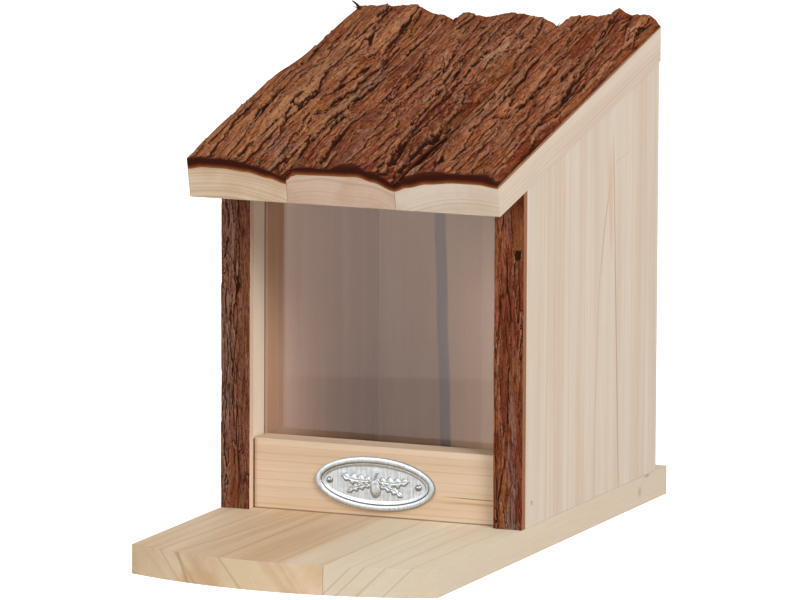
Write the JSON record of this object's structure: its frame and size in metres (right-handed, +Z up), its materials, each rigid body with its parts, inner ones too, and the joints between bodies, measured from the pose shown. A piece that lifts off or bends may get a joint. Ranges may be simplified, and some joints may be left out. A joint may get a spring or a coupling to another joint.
{
  "type": "squirrel feeder box",
  "caption": "Wooden feeding box with a bark-covered hinged lid, a clear front panel behind a low rail, and a bowed platform in front.",
  "frame": {"origin": "centre of the base's underside", "axes": "+X to the right seen from the front, +Y from the platform to the back, +Z up"},
  "size_m": [0.1348, 0.269, 0.2043],
  "materials": {
    "base_wood": "planed bare softwood",
    "wall_wood": "planed bare softwood",
    "roof_wood": "sawn bare softwood",
    "roof_bark": "rough natural bark",
    "strip_bark": "rough natural bark",
    "acrylic": "clear and glossy",
    "zinc": "brushed, bright",
    "nail_steel": "domed, bright",
    "hinge_steel": "yellow passivated zinc plating",
    "screw_steel": "yellow passivated zinc plating"
  },
  "bodies": {
    "box": {"base_left_board": "base_wood", "base_right_board": "base_wood", "left_side_wall": "wall_wood", "right_side_wall": "wall_wood", "back_panel": "wall_wood", "front_rail": "base_wood", "clear_panel": "acrylic", "left_bark_strip": "strip_bark", "right_bark_strip": "strip_bark", "badge_plate": "zinc", "left_badge_nail": "nail_steel", "right_badge_nail": "nail_steel", "left_rail_brad": "nail_steel", "right_rail_brad": "nail_steel", "left_wall_screw_1": "screw_steel", "left_wall_screw_2": "screw_steel", "right_wall_screw_1": "screw_steel", "right_wall_screw_2": "screw_steel", "back_panel_screw_1": "screw_steel", "back_panel_screw_2": "screw_steel", "left_hinge_fixed_leaf": "hinge_steel", "right_hinge_fixed_leaf": "hinge_steel", "left_hinge_pin": "hinge_steel", "right_hinge_pin": "hinge_steel", "left_fixed_leaf_screw_1": "screw_steel", "left_fixed_leaf_screw_2": "screw_steel", "right_fixed_leaf_screw_1": "screw_steel", "right_fixed_leaf_screw_2": "screw_steel"},
    "lid": {"left_hinge_lid_leaf": "hinge_steel", "right_hinge_lid_leaf": "hinge_steel", "left_lid_leaf_screw_1": "screw_steel", "left_lid_leaf_screw_2": "screw_steel", "right_lid_leaf_screw_1": "screw_steel", "right_lid_leaf_screw_2": "screw_steel", "left_roof_slab": "roof_wood", "middle_roof_slab": "roof_wood", "right_roof_slab": "roof_wood", "left_roof_bark": "roof_bark", "middle_roof_bark": "roof_bark", "right_roof_bark": "roof_bark"}
  },
  "joints": [
    {"name": "lid_hinge", "type": "hinge", "parent": "box", "child": "lid", "pos_m": [0, 0.1236, 0.18425], "axis": [-1, 0, 0], "range_deg": [0, 170]}
  ]
}
